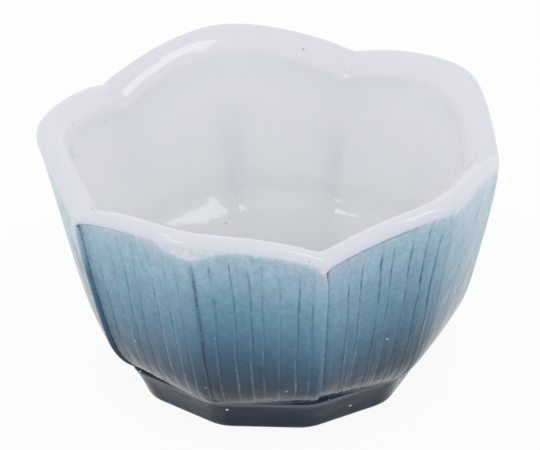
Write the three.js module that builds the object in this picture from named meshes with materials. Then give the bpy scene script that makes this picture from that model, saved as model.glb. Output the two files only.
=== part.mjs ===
import * as THREE from 'three';

// A small five-petalled porcelain bowl in millimetres, +Z up.
// The origin is on the bowl's axis, at the table that the foot stands on.
// A white body carries the rolled lip and the inside. Five blue petals lap round it like a pinwheel,
// and a dark foot ring is joined underneath.
// The plan is a soft ten-sided figure: five petal tips and, half way between them, five notches.

// Plan
const PETALS = 5;
const FIRST_TIP = THREE.MathUtils.degToRad(31);
const PETAL_ANGLE = 2 * Math.PI / PETALS;
const HALF_ANGLE = PETAL_ANGLE / 2;
const CORNER = 1 / Math.cos(HALF_ANGLE / 2);

// Heights
const FOOT_HEIGHT = 7.8;
const RECESS_DEPTH = 5.5;
const WALL_BOTTOM = 8.4;
const NOTCH_CREST = 48.3;
const TIP_RISE = 4.85;
const FLOOR = 11.6;
const CREST_CURVE = 2.3;

// Thicknesses, measured level, and gaps
const LOW_WALL = 6.2;
const LIP_DROP = 2.6;
const GLAZED_SLAB = 1.4;
const JOINT = 0.3;

// The outer wall's radius over its height h, from 0 at the foot to 1 under the lip:
// foot + slope h, less a tuck that fades within the lowest part, plus a flare near the lip
const TIP_WALL = { foot: 36.4, slope: 9.7, tuck: 2.8, flare: 0.8 };
const NOTCH_WALL = { foot: 36.9, slope: 9.7, tuck: 4.9, flare: -1.0 };
const TUCK_FADE = 12;
const FLARE_RISE = 6;
const INSIDE_FLARE_RISE = 2;
const MID_BELLY = 0.83;
const END_BELLY = 0.3;
const FOLD_AT_FOOT = 0.06;
const FOLD_AT_LIP = 0.17;
const INSIDE_SOFTER = 0.16;
const WALL_LEAN = TIP_WALL.slope / (NOTCH_CREST - WALL_BOTTOM);

// The rolled lip's section turns from facing out (0) over the crest until it faces the bowl's inside, in
// four arcs: a tight one outside, a flatter one, an almost straight slope, and the shoulder down to the wall
const LIP_ARCS = [
  { radius: 1.75, until: Math.PI / 2, rows: 4 },
  { radius: 4.0, until: THREE.MathUtils.degToRad(119), rows: 3 },
  { radius: 6.5, until: THREE.MathUtils.degToRad(130), rows: 1 },
  { radius: 5.5, until: Math.PI - Math.atan(WALL_LEAN), rows: 4 },
];

// Foot ring: a ten-sided taper, measured to where its sides would meet, with corners of radius FOOT_CORNER
const FOOT_TOP = 32.7;
const FOOT_BOTTOM = 28.8;
const FOOT_CORNER = 8;
const FOOT_BORE = 22.6;
const FOOT_ROUND = 0.9;

// Pinwheel lap: each petal ends in a low bead along one edge and sinks towards the other, below the lip
const BEAD_HEIGHT = 0.16;
const BEAD_START = 0.86;
const LAP_SINK = 0.55;
const LAP_FADE = 0.8;
const PANEL_TOP = 0.08;

// Inside curve
const COVE_HEIGHT = 0.36;
const COVE_POWER = 2.5;

// Grid counts. The wall's rows lie closer together near the foot, where it tucks in.
const FACES_PER_PETAL = 16;
const WALL_ROWS = 10;
const INSIDE_ROWS = 7;
const INSIDE_TOP = 0.91;
const ROW_CROWDING = 1.4;
const COVE_ROWS = 8;

// Height of the lip's crest across a petal, highest at the tip (u = 0), lowest at the notches (u = -1, 1)
function crest(u) {
  return NOTCH_CREST + TIP_RISE * (1 - Math.abs(u) ** CREST_CURVE);
}

function wallRadius(side, h, rise = FLARE_RISE) {
  return side.foot + side.slope * h - side.tuck * (1 - h) ** TUCK_FADE + side.flare * h ** rise;
}

// One point of a petal's plan outline, with its tip on +X. Two facets run from the tip to the notches.
// They swell by belly in the middle, and soft rounds the fold between them.
function planPoint(u, tip, notch, belly, soft) {
  const a = Math.abs(u);
  const ease = (Math.hypot(a, soft) - soft) / (Math.hypot(1, soft) - soft);
  const notchX = notch * Math.cos(HALF_ANGLE);
  const notchY = notch * Math.sin(HALF_ANGLE);
  const swell = belly * 4 * a * (1 - a) / Math.hypot(tip - notchX, notchY);
  const x = tip + ease * (notchX - tip) + swell * notchY;
  const y = a * notchY + swell * (tip - notchX);
  return new THREE.Vector2(x, Math.sign(u) * y);
}

function onPetal(index, plan, z) {
  const turned = plan.clone().rotateAround(new THREE.Vector2(), FIRST_TIP + index * PETAL_ANGLE);
  return new THREE.Vector3(turned.x, turned.y, z);
}

// The wall's surface at height h, moved in by inset, square to the facets, with its folds made softer
function wallPoint(index, u, h, inset, rise, softer = 0) {
  const tip = wallRadius(TIP_WALL, h, rise) - inset * CORNER;
  const notch = wallRadius(NOTCH_WALL, h, rise) - inset * CORNER;
  const belly = END_BELLY + (MID_BELLY - END_BELLY) * Math.sin(Math.PI * h);
  const soft = FOLD_AT_FOOT + (FOLD_AT_LIP - FOLD_AT_FOOT) * h + softer;
  const top = crest(u) - LIP_DROP;
  return onPetal(index, planPoint(u, tip, notch, belly, soft), WALL_BOTTOM + (top - WALL_BOTTOM) * h);
}

// The lip's section as points of inset from the outer wall (x) and drop below the crest (y). Over an arc of
// radius r that turns from a to b, the inset grows by r (cos a - cos b) and the drop by r (sin a - sin b).
function lipSection() {
  const section = [new THREE.Vector2(0, LIP_ARCS[0].radius)];
  let from = 0;
  for (const { radius, until, rows } of LIP_ARCS) {
    const start = section.at(-1);
    for (let i = 1; i <= rows; i += 1) {
      const turn = from + (until - from) * i / rows;
      const inset = start.x + radius * (Math.cos(from) - Math.cos(turn));
      const drop = start.y + radius * (Math.sin(from) - Math.sin(turn));
      section.push(new THREE.Vector2(inset, drop));
    }
    from = until;
  }
  return section;
}

const LIP_SECTION = lipSection();
const LIP_END = LIP_SECTION.at(-1);
const UPPER_WALL = LIP_END.x - WALL_LEAN * (LIP_END.y - LIP_DROP);

// The lip's folds soften from the outer wall's to the inside wall's
function lipPoint(index, u, inset, drop) {
  const softer = INSIDE_SOFTER * inset / LIP_END.x;
  return wallPoint(index, u, 1, inset, FLARE_RISE, softer).setZ(crest(u) - drop);
}

// The inside of the wall, and below COVE_HEIGHT the rounded bottom, where t runs from 0 at the axis to 1.
// At the lip's end the outer wall has come in by its lean, so that much less inset carries the lip straight
// on, and the inside's flare starts lower than the outside's.
function insidePoint(index, u, h) {
  const inset = UPPER_WALL + (LOW_WALL - UPPER_WALL) * (1 - h) ** 2;
  return wallPoint(index, u, h, inset, INSIDE_FLARE_RISE, INSIDE_SOFTER);
}

function covePoint(index, u, t) {
  const edge = insidePoint(index, u, COVE_HEIGHT);
  const turn = t * Math.PI / 2;
  const out = Math.sin(turn) ** (2 / COVE_POWER);
  const up = 1 - Math.cos(turn) ** (2 / COVE_POWER);
  const lean = WALL_LEAN * (edge.z - FLOOR) * (1 - up);
  const r = Math.hypot(edge.x, edge.y);
  const scale = out * (r - lean) / r;
  return new THREE.Vector3(edge.x * scale, edge.y * scale, FLOOR + (edge.z - FLOOR) * up);
}

function circlePoint(index, u, radius, z) {
  const angle = FIRST_TIP + index * PETAL_ANGLE + u * HALF_ANGLE;
  return new THREE.Vector3(radius * Math.cos(angle), radius * Math.sin(angle), z);
}

// One side of the foot is straight up to the corner's arc, whose centre lies on the line through the corner
function footPoint(index, u, inset, z) {
  const reach = FOOT_BOTTOM + (FOOT_TOP - FOOT_BOTTOM) * z / FOOT_HEIGHT;
  const corner = FOOT_CORNER - inset;
  const side = reach / CORNER - inset;
  const fromSide = Math.abs(Math.abs(u) - 0.5) * HALF_ANGLE;
  const centre = (side - corner) * CORNER;
  const straight = side * Math.tan(fromSide) <= centre * Math.sin(HALF_ANGLE / 2);
  const turn = fromSide - HALF_ANGLE / 2;
  const arc = centre * Math.cos(turn) + Math.sqrt(corner ** 2 - (centre * Math.sin(turn)) ** 2);
  return circlePoint(index, u, straight ? side / Math.cos(fromSide) : arc, z);
}

// Rows of points right round the bowl, one row for each function of (petal, u)
function rings(functions) {
  const columns = PETALS * FACES_PER_PETAL;
  return functions.map((place) => Array.from({ length: columns }, (_, c) => {
    const u = -1 + 2 * (c % FACES_PER_PETAL) / FACES_PER_PETAL;
    return place(Math.floor(c / FACES_PER_PETAL), u);
  }));
}

function geometryFrom(points, faces) {
  const geometry = new THREE.BufferGeometry();
  geometry.setAttribute('position', new THREE.Float32BufferAttribute(points.flatMap((p) => p.toArray()), 3));
  geometry.setIndex(faces);
  geometry.computeVertexNormals();
  return geometry;
}

// Faces between row a and row b, which are closed loops of the same length
function band(faces, a, b, length) {
  for (let c = 0; c < length; c += 1) {
    const next = (c + 1) % length;
    faces.push(a + c, a + next, b + next, a + c, b + next, b + c);
  }
}

// Rows that start and end at a point on the axis
function skinBetweenPoles(first, rows, last) {
  const length = rows[0].length;
  const points = [...rows.flat(), first, last];
  const faces = [];
  rows.slice(1).forEach((_, i) => band(faces, i * length, (i + 1) * length, length));
  const lastRow = (rows.length - 1) * length;
  const pole = rows.length * length;
  for (let c = 0; c < length; c += 1) {
    const next = (c + 1) % length;
    faces.push(pole, next, c);
    faces.push(pole + 1, lastRow + c, lastRow + next);
  }
  return geometryFrom(points, faces);
}

// Rows whose last one joins the first again, as on a ring
function closedRing(rows) {
  const length = rows[0].length;
  const faces = [];
  rows.forEach((_, i) => band(faces, i * length, ((i + 1) % rows.length) * length, length));
  return geometryFrom(rows.flat(), faces);
}

function steps(count, from, to, place) {
  return Array.from({ length: count + 1 }, (_, i) => place(from + (to - from) * i / count));
}

// White body: underside, outer wall behind the petals, rolled lip, inside wall and rounded bottom
function makeBody() {
  const behind = GLAZED_SLAB + JOINT;
  const plug = FOOT_BORE - JOINT;
  const under = FOOT_HEIGHT + JOINT;
  const ledge = LIP_DROP - JOINT;
  const rows = [
    (k, u) => circlePoint(k, u, plug, RECESS_DEPTH),
    (k, u) => circlePoint(k, u, plug, under),
    (k, u) => wallPoint(k, u, 0, behind).setZ(under),
    ...steps(WALL_ROWS, 0, 1, (t) => (k, u) => wallPoint(k, u, t ** ROW_CROWDING, behind)),
    (k, u) => wallPoint(k, u, 1, behind).setZ(crest(u) - ledge),
    (k, u) => wallPoint(k, u, 1, 0).setZ(crest(u) - ledge),
    ...LIP_SECTION.map(({ x: inset, y: drop }) => (k, u) => lipPoint(k, u, inset, drop)),
    ...steps(INSIDE_ROWS, INSIDE_TOP, COVE_HEIGHT, (h) => (k, u) => insidePoint(k, u, h)),
    ...steps(COVE_ROWS - 1, 1 - 1 / COVE_ROWS, 1 / (2 * COVE_ROWS), (t) => (k, u) => covePoint(k, u, t)),
  ];
  return skinBetweenPoles(new THREE.Vector3(0, 0, RECESS_DEPTH), rings(rows), new THREE.Vector3(0, 0, FLOOR));
}

// How far a petal's face stands proud at u and h: raised along its far edge, sunk towards its near one
function lap(u, h) {
  const raised = THREE.MathUtils.smoothstep(u, BEAD_START, 1);
  const sunk = Math.max(0, (LAP_FADE - 1 - u) / LAP_FADE);
  return (BEAD_HEIGHT * raised - LAP_SINK * sunk) * THREE.MathUtils.smoothstep(1 - h, 0, PANEL_TOP);
}

// One petal: a folded slab, closed by its edges. Each row is a loop along the outer face and back inside.
function makePetal(index) {
  const half = JOINT / 2;
  const rows = steps(WALL_ROWS, 0, 1, (t) => {
    const h = t ** ROW_CROWDING;
    const facet = wallRadius(NOTCH_WALL, h) * 2 * Math.sin(HALF_ANGLE / 2);
    const reach = 1 - half * CORNER / facet;
    const across = (place) => steps(FACES_PER_PETAL - 2, -reach, reach, place);
    const outer = across((u) => wallPoint(index, u, h, -lap(u, h)));
    const inner = across((u) => wallPoint(index, u, h, GLAZED_SLAB));
    return [...outer, ...inner.reverse()];
  });
  const length = rows[0].length;
  const faces = [];
  rows.slice(1).forEach((_, i) => band(faces, i * length, (i + 1) * length, length));
  const top = (rows.length - 1) * length;
  for (let c = 0; c < length / 2 - 1; c += 1) {
    const back = length - 1 - c;
    faces.push(c, back, c + 1, c + 1, back, back - 1);
    faces.push(top + c, top + c + 1, top + back, top + c + 1, top + back - 1, top + back);
  }
  return geometryFrom(rows.flat(), faces);
}

// Foot ring: ten-sided and tapered outside, round inside, with a flat land on the table
function makeFoot() {
  const rows = [
    (k, u) => footPoint(k, u, FOOT_ROUND, 0),
    (k, u) => footPoint(k, u, FOOT_ROUND / 3, FOOT_ROUND / 3),
    (k, u) => footPoint(k, u, 0, FOOT_ROUND),
    (k, u) => footPoint(k, u, 0, FOOT_HEIGHT / 2),
    (k, u) => footPoint(k, u, 0, FOOT_HEIGHT - FOOT_ROUND / 2),
    (k, u) => footPoint(k, u, FOOT_ROUND / 2, FOOT_HEIGHT),
    (k, u) => circlePoint(k, u, FOOT_BORE, FOOT_HEIGHT),
    (k, u) => circlePoint(k, u, FOOT_BORE, FOOT_ROUND / 2),
    (k, u) => circlePoint(k, u, FOOT_BORE + FOOT_ROUND / 2, 0),
  ];
  return closedRing(rings(rows));
}

function named(name, geometry, colour, roughness) {
  const material = new THREE.MeshStandardMaterial({ color: colour, roughness, metalness: 0 });
  const mesh = new THREE.Mesh(geometry, material);
  mesh.name = name;
  return mesh;
}

const bowl = new THREE.Group();
bowl.add(named('bowl_body', makeBody(), '#e3e1e8', 0.08));
for (let index = 0; index < PETALS; index += 1) {
  bowl.add(named(`petal_${index + 1}`, makePetal(index), '#6f97ab', 0.1));
}
bowl.add(named('foot_ring', makeFoot(), '#40475a', 0.25));

export default bowl;
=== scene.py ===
# %% [markdown]
# This lesson dresses a small five-petalled porcelain bowl: a white body with a rolled lip, five blue petals
# and a dark foot ring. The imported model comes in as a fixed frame, which gives the real size and place of
# these seven pieces of clay. Each is replaced by a finer surface in the same place, because glaze is all
# soft edges, shallow flutes and pooled colour, which plain facets can't show.

# %% The frame
import math

import bpy
import numpy as np
from mathutils import Matrix, Vector


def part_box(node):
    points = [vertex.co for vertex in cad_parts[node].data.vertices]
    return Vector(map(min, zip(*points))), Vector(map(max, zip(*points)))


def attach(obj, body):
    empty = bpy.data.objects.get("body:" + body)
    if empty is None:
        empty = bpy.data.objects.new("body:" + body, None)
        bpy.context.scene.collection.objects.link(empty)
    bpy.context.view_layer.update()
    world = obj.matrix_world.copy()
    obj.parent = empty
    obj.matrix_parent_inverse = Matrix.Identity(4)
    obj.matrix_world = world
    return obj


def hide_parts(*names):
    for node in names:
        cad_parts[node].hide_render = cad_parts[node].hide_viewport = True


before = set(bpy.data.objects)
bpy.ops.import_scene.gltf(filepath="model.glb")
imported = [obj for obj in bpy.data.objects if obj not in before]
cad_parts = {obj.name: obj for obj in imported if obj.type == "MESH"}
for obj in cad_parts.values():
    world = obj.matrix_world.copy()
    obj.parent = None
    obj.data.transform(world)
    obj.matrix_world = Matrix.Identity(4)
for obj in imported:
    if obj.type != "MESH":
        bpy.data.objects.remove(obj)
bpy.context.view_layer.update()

# %% [markdown]
# Heights are read from the frame, so the fine surfaces can't drift away from the solids. The plan is a soft
# ten-sided figure of five petal tips and five notches. Its radii can't be read from a box, so they are
# named values in millimetres, each in the cell that first needs it.

# %% Sizes in millimetres
MM = 0.001
PETALS = 5
FIRST_TIP = math.radians(31)
PETAL_ANGLE = 2 * math.pi / PETALS
HALF_ANGLE = PETAL_ANGLE / 2
CORNER = 1 / math.cos(HALF_ANGLE / 2)

body_low, body_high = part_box("bowl_body")
petal_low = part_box("petal_1")[0]
foot_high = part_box("foot_ring")[1]
TIP_RISE = 4.85
NOTCH_CREST = body_high.z / MM - TIP_RISE
WALL_BOTTOM = petal_low.z / MM
FOOT_HEIGHT = foot_high.z / MM
RECESS_DEPTH = body_low.z / MM
FLOOR_THICKNESS = 6.1
FLOOR = RECESS_DEPTH + FLOOR_THICKNESS

SEAM_DROP = 2.2     # from the lip's crest down to the line where the petals begin
SLAB = 1.3          # thickness of a petal
JOINT = 0.3         # room between pieces of clay
print("heights of notch crest, wall bottom and foot", np.round([NOTCH_CREST, WALL_BOTTOM, FOOT_HEIGHT], 2))

# %% [markdown]
# The photograph was taken from about 29 degrees above the table with a long lens, as a fit of the lip, the
# ridges and the foot's corners showed. The bowl isn't in the middle of the picture, so the camera, which
# looks along +Y, is turned slightly instead of being shifted.

# %% Camera
IMAGE_WIDTH = 540
IMAGE_HEIGHT = 450
ELEVATION = math.radians(29.1)
DISTANCE = 1.5
FITTED_PIXELS = 218.7     # a length in the picture, and the same length on the bowl
FITTED_METRES = 0.0436
PIXELS_PER_METRE = FITTED_PIXELS / FITTED_METRES
RIM_CENTRE = Vector((0, 0, NOTCH_CREST * MM))
RIM_CENTRE_PIXEL = (271.2, 150.0)
ROLL = math.radians(-1.2)


def add_object(name, data):
    made = bpy.data.objects.new(name, data)
    bpy.context.scene.collection.objects.link(made)
    return made


def make_camera():
    """The axis of view passes through the point that sits at the middle of the picture."""
    focal_pixels = PIXELS_PER_METRE * DISTANCE
    back = Vector((0, -math.cos(ELEVATION), math.sin(ELEVATION)))
    right = Vector((1, 0, 0))
    up = back.cross(right)
    turn = Matrix.Rotation(ROLL, 3, back)
    right, up = turn @ right, turn @ up
    off_x = (RIM_CENTRE_PIXEL[0] - IMAGE_WIDTH / 2) / PIXELS_PER_METRE
    off_y = (IMAGE_HEIGHT / 2 - RIM_CENTRE_PIXEL[1]) / PIXELS_PER_METRE
    place = RIM_CENTRE + back * DISTANCE
    target = RIM_CENTRE - right * off_x - up * off_y
    z_axis = (place - target).normalized()
    x_axis = up.cross(z_axis).normalized()
    y_axis = z_axis.cross(x_axis)
    data = bpy.data.cameras.new("photo camera")
    data.sensor_width = 36.0
    data.lens = data.sensor_width * focal_pixels / IMAGE_WIDTH
    data.clip_end = 20
    camera = add_object("photo camera", data)
    axes = Matrix((x_axis, y_axis, z_axis)).transposed()
    camera.matrix_world = Matrix.Translation(place) @ axes.to_4x4()
    bpy.context.scene.camera = camera
    return camera


camera = make_camera()
print("lens", round(camera.data.lens), "mm")

# %% [markdown]
# A bowl like this is pressed or built from slabs. Two numbers describe its surface: u from -1 to 1 across a
# petal and h from 0 to 1 up the wall. It could be a subdivided mesh, but a formula keeps the petals alike
# and lets flutes and laps follow the wall. First comes how far out the wall lies, and how high the
# scalloped crest.

# %% Profile of the wall and the crest
TIP_WALL = {"foot": 36.4, "slope": 9.7, "tuck": 2.8, "flare": 0.8}
NOTCH_WALL = {"foot": 36.9, "slope": 9.7, "tuck": 4.9, "flare": -1.0}
TUCK_FADE = 12
FLARE_RISE = 6
CREST_CURVE = 2.3
NOTCH_ROUND = 1.1
WALL_LEAN = TIP_WALL["slope"] / (NOTCH_CREST - WALL_BOTTOM)


def wall_radius(side, h, rise=FLARE_RISE):
    """A straight slope, less a tuck that fades within the lowest part, plus a flare near the lip."""
    straight = side["foot"] + side["slope"] * h
    return straight - side["tuck"] * (1 - h) ** TUCK_FADE + side["flare"] * h**rise


def facet_width(h):
    """Width of one facet from ridge to notch, as the chord of a tenth of a circle."""
    return 2 * math.sin(HALF_ANGLE / 2) * wall_radius(NOTCH_WALL, h)


def rounding(u, h, width):
    """A parabola over the last width before a notch, and half of width high there. Times a slope, it takes
    that slope away at the notch, so two petals meet there without a crease."""
    return width / 2 * np.maximum(1 - (1 - np.abs(u)) * facet_width(h) / width, 0) ** 2


def crest(u):
    """Height of the lip's crest: the notch height plus a rise that falls off with a power of u."""
    slope = TIP_RISE * CREST_CURVE / facet_width(1.0)
    return NOTCH_CREST + TIP_RISE * (1 - np.abs(u) ** CREST_CURVE) + slope * rounding(u, 1.0, NOTCH_ROUND)


def wall_height(u):
    """Height of the petal's face, from its lower edge to the line where the white lip begins."""
    return crest(u) - SEAM_DROP - WALL_BOTTOM


print("rim width", round(2 * float(wall_radius(TIP_WALL, 1.0)), 1), "mm at most")

# %% [markdown]
# In plan a petal is two flat facets folded along its middle. Clay folds softly, so the ridge is a narrow
# curve and the facets swell a little. A bevelled polygon would come near, but this fold is sharp at the
# foot and soft at the lip. At a notch, a small rounding keeps the lip and the inside from creasing.

# %% The wall as a surface
MID_BELLY = 0.83
END_BELLY = 0.3
FOLD_AT_FOOT = 0.06
FOLD_AT_LIP = 0.17


def blend(first, last, t):
    """A straight line from first at t = 0 to last at t = 1."""
    return first + (last - first) * t


def plan_point(u, tip, notch, belly, soft):
    """Two facets run from the tip on +X to the notches. They swell by belly times a parabola, and the
    corner between them is a hyperbola whose roundness is soft."""
    a = np.abs(u)
    ease = (np.hypot(a, soft) - soft) / (np.hypot(1, soft) - soft)
    notch_x = notch * math.cos(HALF_ANGLE)
    notch_y = notch * math.sin(HALF_ANGLE)
    swell = belly * 4 * a * (1 - a) / np.hypot(tip - notch_x, notch_y)
    x = tip + ease * (notch_x - tip) + swell * notch_y
    y = a * notch_y + swell * (tip - notch_x)
    return x, np.sign(u) * y


def notch_bend(tip, notch, belly, soft):
    """How far a facet still has to turn at the notch to run square to its radius, as a slope. It is half a
    petal's angle, less the facet's direction there, from the derivative of plan_point at a = 1."""
    notch_x, notch_y = notch * math.cos(HALF_ANGLE), notch * math.sin(HALF_ANGLE)
    round_end = np.hypot(1, soft)
    swell = -4 * belly / np.hypot(tip - notch_x, notch_y)
    dx = (notch_x - tip) / round_end / (round_end - soft) + swell * notch_y
    dy = notch_y + swell * (tip - notch_x)
    return np.tan(HALF_ANGLE - np.arctan2(-dx, dy))


def turned(index, x, y, z):
    """Turns a petal's own plan to its place round the bowl and stacks it with the height."""
    angle = FIRST_TIP + index * PETAL_ANGLE
    x, y, z = np.broadcast_arrays(x, y, z)
    c, s = np.cos(angle), np.sin(angle)
    return np.stack([c * x - s * y, s * x + c * y, z], axis=-1)


def wall_point(index, u, h, inset, rise=FLARE_RISE, notch_round=NOTCH_ROUND, softer=0.0):
    """The wall at height h, moved in by inset, square to the facets, and a little more where it rounds a
    notch."""
    belly = blend(END_BELLY, MID_BELLY, np.sin(math.pi * np.clip(h, 0, 1)))
    soft = blend(FOLD_AT_FOOT, FOLD_AT_LIP, h) + softer
    tip = wall_radius(TIP_WALL, h, rise) - inset * CORNER
    notch = wall_radius(NOTCH_WALL, h, rise) - inset * CORNER
    cut = notch_bend(tip, notch, belly, soft) * rounding(u, h, notch_round) * CORNER
    x, y = plan_point(u, tip - cut, notch - cut, belly, soft)
    return turned(index, x, y, WALL_BOTTOM + wall_height(u) * h)


def set_height(points, z):
    """The same points, all at height z."""
    points[..., 2] = z
    return points


print("one notch at the lip", wall_point(0, 1.0, 1.0, 0.0).round(1))

# %% [markdown]
# Every surface here is a grid of points. One helper makes its faces, one zips two edges that have different
# counts, and one crowds the lines where a surface turns sharply. Blender's own grids are evenly spaced and
# would need many more faces for the same crispness.

# %% Grid helpers
SHARP_ANGLE = math.radians(42)


def grid_faces(rows, columns, first=0, wrap=False):
    """Quads of a grid whose points are numbered row by row, and round the seam where it wraps."""
    count = columns if wrap else columns - 1
    r, c = np.meshgrid(np.arange(rows - 1), np.arange(count), indexing="ij")
    n = (c + 1) % columns
    corners = [r * columns + c, r * columns + n, (r + 1) * columns + n, (r + 1) * columns + c]
    return np.stack(corners, axis=-1).reshape(-1, 4) + first


def zip_edges(a, b):
    """Triangles between two lines of points. Each step along the longer line a takes the nearest point of
    b, and one more triangle fills in where that nearest point changes."""
    near = np.round(np.arange(len(a)) * (len(b) - 1) / (len(a) - 1)).astype(int)
    along = np.stack([a[:-1], a[1:], b[near[:-1]]], axis=-1)
    change = np.flatnonzero(np.diff(near))
    across = np.stack([a[change + 1], b[near[change + 1]], b[near[change]]], axis=-1)
    return np.concatenate([along, across])


def bell(x, width):
    """1 at x = 0, falling off on both sides like a bell, to 0.37 at the width."""
    return np.exp(-((x / width) ** 2))


def crowded(count, low, high, crowds):
    """Numbers from low to high that crowd round places, each with a reach and a weight. Their density is 1
    plus the weights times bells of those reaches, and its running sum is inverted."""
    fine = np.linspace(low, high, 6000)
    density = 1 + sum(weight * bell(fine - place, reach) for place, reach, weight in crowds)
    total = np.concatenate([[0], np.cumsum((density[1:] + density[:-1]) / 2)])
    return np.interp(np.linspace(0, total[-1], count), total, fine)


def make_object(name, points, face_groups, attributes):
    """A smooth-shaded mesh in metres from points in millimetres, with named values at its points."""
    mesh = bpy.data.meshes.new(name)
    faces = [face for group in face_groups for face in group.tolist()]
    mesh.from_pydata((points * MM).tolist(), [], faces)
    for label, values in attributes:
        mesh.attributes.new(label, "FLOAT", "POINT").data.foreach_set("value", values.astype(np.float32))
    mesh.shade_smooth()
    mesh.set_sharp_from_angle(angle=SHARP_ANGLE)
    print(name, len(mesh.vertices), "points,", sum(len(f) - 2 for f in faces), "triangles")
    return add_object(name, mesh)


print("a line crowded round 0", crowded(7, -1, 1, [(0, 0.2, 3)]).round(2))

# %% [markdown]
# Each petal's far edge laps over its neighbour, whose near side lies lower there: a sunk panel, deepest at
# the lap, level with the wall again near the ridge and rounded below the lip. It could be sculpted, but as
# relief added to the wall, in tenths of a millimetre, it is the same on all five petals.

# %% Lap and panel
LAP_SINK = 0.55
LAP_FADE = 0.8
LAP_START = (1.0, 5.0)     # the lap comes in between these depths below the lip
BEAD_HEIGHT = 0.08
BEAD_WIDTH = 1.3
PANEL_TOP = 0.25
PANEL_SIDE = -0.25
PANEL_CORNER = 1.9
STEP_WIDTH = 0.42


def smoothstep(low, high, x):
    """0 up to low, 1 from high, and between them a curve that leaves and arrives level."""
    t = np.clip((x - low) / (high - low), 0, 1)
    return t * t * (3 - 2 * t)


def below_seam(u, h):
    """Millimetres below the line where the petal meets the white lip."""
    return (1 - h) * wall_height(u)


def from_left(u, h):
    """Millimetres from the edge at u = -1, which the next petal laps over."""
    return (1 + u) * facet_width(h)


def from_right(u, h):
    """Millimetres from the petal's own lapping edge at u = 1."""
    return (1 - u) * facet_width(h)


def near_lap(u):
    """1 at the edge that is lapped over, falling in a straight line to 0 near the ridge."""
    return np.clip((-u - 1 + LAP_FADE) / LAP_FADE, 0, 1)


def panel_edge(u, h):
    """Distance into the sunk panel from its edge, in millimetres: a corner of radius PANEL_CORNER joins
    the side along the lap and the top below the lip."""
    side = PANEL_CORNER - from_left(u, h) + PANEL_SIDE
    top = PANEL_CORNER - below_seam(u, h) + PANEL_TOP
    return PANEL_CORNER - np.hypot(np.maximum(side, 0), np.maximum(top, 0))


def lap_relief(u, h):
    """The panel sinks over one narrow step, and a low bead runs along the lapping edge."""
    bead = bell(from_right(u, h), BEAD_WIDTH) * smoothstep(*LAP_START, below_seam(u, h))
    return BEAD_HEIGHT * bead - LAP_SINK * near_lap(u) * smoothstep(0, STEP_WIDTH, panel_edge(u, h))


print("panel sinks", round(-float(lap_relief(-0.98, 0.5)), 2), "mm beside the lap")

# %% [markdown]
# Glaze runs while it melts. It gathers dark in the corner beside a lap and pulls thin and pale over edges.
# A baked cavity map would be one more file, so the points of the mesh carry masks. No two petals took the
# glaze alike, so the strengths are given for each petal in turn.

# %% Glaze along the lap
POOL_STRENGTH = 1.4
POOL_WIDTH = (0.5, 0.6, 0.7, 1.9, 0.6)
POOL_SPREAD = (1.25, 0.45)     # wide at the foot, narrow at the lip
STEP_MIDDLE = 0.3
LINE_POOL = (0.5, 0.5, 0.5, 0.35, 1.0)
LINE_WIDTH = 0.26
EDGE_DARK_BAND = (0.0, 0.0, 1.1, 0.0, 0.0)
EDGE_DARK_BAND_REACH = (9.0, 6.0)
EDGE_DARK_BAND_START = (6.0, 14.0)
EDGE_THIN = (0.5, 0.5, 0.2, 0.3, 0.5)
EDGE_THIN_WIDTH = 0.5
BORDER_WIDTH = 1.6
POOL_BEGINS = (-0.1, 0.35)     # distances into the panel
BORDER_ENDS = (-0.15, 0.25)


def lap_masks(index, u, h):
    """Pooled glaze falls off away from the lapped edge, and a line of it follows the panel's step. A dark
    band is painted on the third petal beside its lapping edge, low on the wall. Thin glaze is a bell on the
    lapping edge.
    The border is 1 outside the panel and on the lapping edge."""
    edge = panel_edge(u, h)
    left, right = from_left(u, h), from_right(u, h)
    drop, near = below_seam(u, h), near_lap(u)
    pool_width = POOL_WIDTH[index] * blend(*POOL_SPREAD, h)
    side_pool = np.exp(-np.maximum(left - STEP_MIDDLE, 0) / pool_width) * smoothstep(*POOL_BEGINS, edge)
    line_pool = LINE_POOL[index] * bell(edge - STEP_MIDDLE, LINE_WIDTH) * np.sqrt(near)
    pool = POOL_STRENGTH * np.maximum(side_pool, line_pool) * (near > 0)
    # A dark band painted on the third petal beside its lapping edge, low on the wall.
    pool += EDGE_DARK_BAND[index] * smoothstep(*EDGE_DARK_BAND_REACH, right) * smoothstep(*EDGE_DARK_BAND_START, drop)
    thin = EDGE_THIN[index] * bell(right, EDGE_THIN_WIDTH) * smoothstep(*LAP_START, drop)
    border = (1 - smoothstep(*BORDER_ENDS, edge)) * near + bell(right, BORDER_WIDTH)
    return pool, thin, np.clip(border, 0, 1)


print("pooled glaze away from the front lap", lap_masks(3, np.array([-0.99, -0.9, -0.5]), 0.5)[0].round(2))

# %% [markdown]
# About eight shallow flutes run down each facet, tooled by hand, so each one wanders. A bump map would look
# flat from the side, so they are real relief. The grid's columns follow the flutes, which keeps a thread of
# a quarter of a millimetre crisp with few faces.

# %% Where the flutes run
FLUTES = 8
FIRST_FLUTE = 0.55
PLACE_SHIFT = 0.2
SWAY = 0.30
SWAY_WAVES = 4


def slow_line(rng, h, waves):
    """A smooth random line between -1 and 1: sines of rising frequency and falling weight."""
    k = np.arange(1, waves + 1)
    phase = rng.uniform(0, 2 * math.pi, waves)
    weight = rng.uniform(0.5, 1, waves) / k**0.5
    return np.sin(2 * math.pi * np.multiply.outer(h, k * 0.8) + phase) @ weight / weight.sum()


def flute_places(rng):
    """Where the flutes of both facets run, in u: evenly spaced, each shifted by a share of a space."""
    shift = rng.uniform(-PLACE_SHIFT, PLACE_SHIFT, FLUTES * 2).reshape(2, FLUTES)
    places = (np.arange(FLUTES) + FIRST_FLUTE + shift) / FLUTES
    return np.concatenate([-places[0][::-1], places[1]])


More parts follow.
